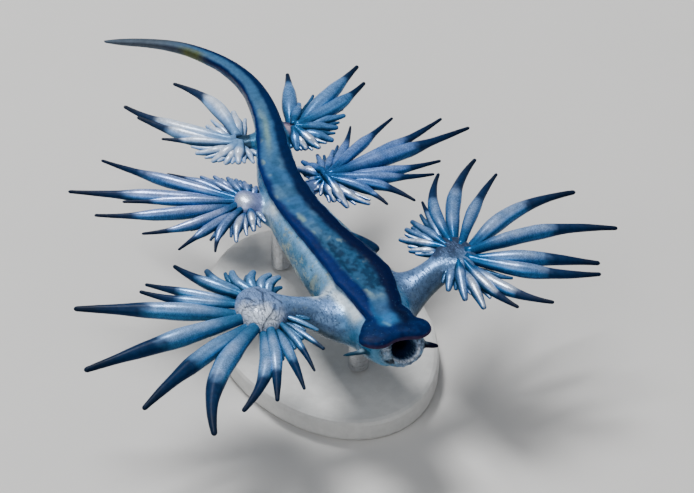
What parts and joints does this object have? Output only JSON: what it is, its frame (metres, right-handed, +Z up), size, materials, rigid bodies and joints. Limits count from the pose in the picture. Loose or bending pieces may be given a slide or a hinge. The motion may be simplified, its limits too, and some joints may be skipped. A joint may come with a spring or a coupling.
{
  "type": "blue dragon sea slug",
  "caption": "Life-size still model of a blue dragon sea slug floating foot up, with paired fans of finger-like cerata and a long tail, held by rods on a flat oval base.",
  "frame": {"origin": "middle of the stand base's underside", "axes": "+Z up, -Y the way the head points, +Y the way the tail runs, -X the animal's left side, as it floats foot up"},
  "size_m": [0.0349, 0.0372, 0.0104],
  "materials": {
    "foot_skin": "wet navy skin with a pale steel-blue band down the middle",
    "flank_skin": "wet pale silvery-blue skin with cream mottles",
    "cerata_skin": "pearly steel-blue fingers with dark navy tips",
    "head_skin": "silvery granular skin round a dark mouth",
    "feeler_skin": "wet dark blue skin",
    "stand_plate": "satin off-white acrylic",
    "stand_rod": "fine brushed"
  },
  "bodies": {
    "root": {"head": "head_skin", "oral_tentacle_left": "feeler_skin", "oral_tentacle_right": "feeler_skin", "rhinophore_left": "feeler_skin", "rhinophore_right": "feeler_skin", "foot_front": "foot_skin", "foot_middle": "foot_skin", "foot_rear": "foot_skin", "body_front": "flank_skin", "body_middle": "flank_skin", "body_rear": "flank_skin", "tail_base": "foot_skin", "tail_middle": "foot_skin", "tail_tip": "foot_skin", "arm_front_left": "flank_skin", "arm_front_right": "flank_skin", "cerata_front_left": "cerata_skin", "cerata_front_right": "cerata_skin", "cerata_middle_left": "cerata_skin", "cerata_middle_right": "cerata_skin", "cerata_rear_left": "cerata_skin", "cerata_rear_right": "cerata_skin", "stand_base": "stand_plate", "stand_rod_front": "stand_rod", "stand_rod_rear": "stand_rod"}
  },
  "joints": []
}
